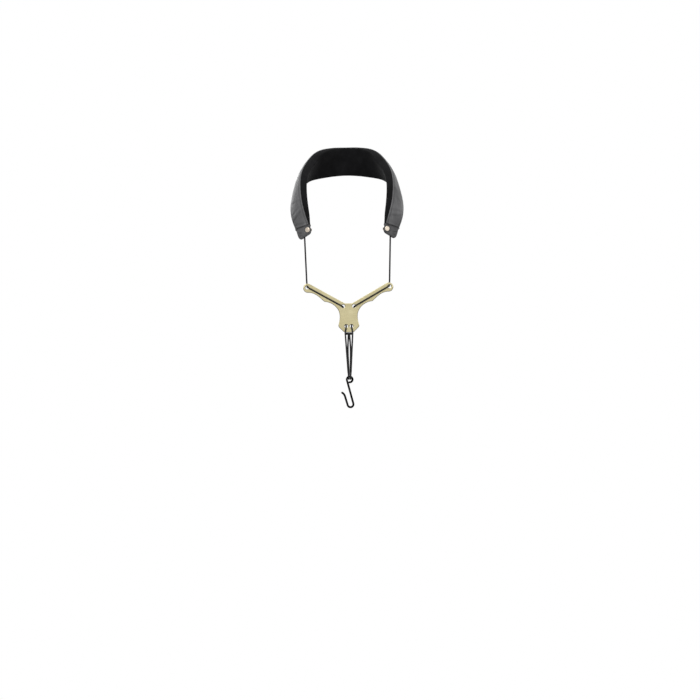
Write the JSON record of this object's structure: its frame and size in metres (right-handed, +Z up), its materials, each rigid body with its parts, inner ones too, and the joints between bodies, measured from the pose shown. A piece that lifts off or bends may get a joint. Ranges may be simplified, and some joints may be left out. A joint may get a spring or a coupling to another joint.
{
  "type": "saxophone neck strap",
  "caption": "Padded leather neckband with a cord that runs through a metal yoke plate down to a coated wire hook, for holding a saxophone at the player's neck.",
  "frame": {"origin": "where the middle of the band's lining rests on the nape of the neck", "axes": "+Z up, -Y the way the wearer faces, X across the shoulders; the strap hangs as it does when worn"},
  "size_m": [0.172, 0.1328, 0.3972],
  "materials": {
    "leather": "fine grain, semi-matt",
    "foam": "foam",
    "lining": "soft nap",
    "thread": "twisted thread",
    "rivet": "polished",
    "plate": "satin, pale gold",
    "cord": "round braid",
    "hook_steel": "drawn wire",
    "hook_coating": "dipped, semi-gloss"
  },
  "bodies": {
    "neckband": {"band_leather": "leather", "band_foam": "foam", "band_lining": "lining", "left_end_tab": "leather", "right_end_tab": "leather", "left_end_stitch": "thread", "right_end_stitch": "thread", "left_rivet_cap": "rivet", "right_rivet_cap": "rivet", "left_rivet_post": "rivet", "right_rivet_post": "rivet", "left_cord_knot": "cord", "right_cord_knot": "cord"},
    "upper_cords": {"left_upper_cord": "cord", "right_upper_cord": "cord"},
    "yoke": {"yoke_plate": "plate", "left_arm_cord": "cord", "right_arm_cord": "cord"},
    "hitch": {"cord_hitch": "cord"},
    "strands": {"left_outer_strand": "cord", "right_outer_strand": "cord", "left_inner_strand": "cord", "right_inner_strand": "cord"},
    "bights": {"left_cord_bight": "cord", "right_cord_bight": "cord"},
    "hook": {"hook_wire": "hook_steel", "hook_coating": "hook_coating"}
  },
  "joints": [
    {"name": "cord_sway", "type": "hinge", "parent": "neckband", "child": "upper_cords", "pos_m": [0, -0.10635, -0.11837], "axis": [-1, 0, 0], "range_deg": [-15, 60]},
    {"name": "yoke_slide", "type": "slide", "parent": "upper_cords", "child": "yoke", "axis": [0, 0, 1], "range_m": [-0.06, 0.04], "deforming": ["left_upper_cord", "right_upper_cord"]},
    {"name": "loop_swing", "type": "hinge", "parent": "yoke", "child": "hitch", "pos_m": [0, -0.1087, -0.26357], "axis": [-1, 0, 0], "range_deg": [-60, 60]},
    {"name": "loop_sway", "type": "hinge", "parent": "hitch", "child": "strands", "pos_m": [0, -0.1087, -0.26357], "axis": [0, 1, 0], "range_deg": [-30, 30]},
    {"name": "hook_drop", "type": "slide", "parent": "strands", "child": "bights", "axis": [0, 0, 1], "range_m": [-0.02, 0.03], "deforming": ["left_outer_strand", "right_outer_strand", "left_inner_strand", "right_inner_strand"]},
    {"name": "hook_tilt", "type": "hinge", "parent": "bights", "child": "hook", "pos_m": [0, -0.1087, -0.32792], "axis": [-1, 0, 0], "range_deg": [-85, 85]}
  ],
  "couplings": [
    {"joint": "hook_drop", "follows": "yoke_slide", "ratio": -0.5}
  ]
}
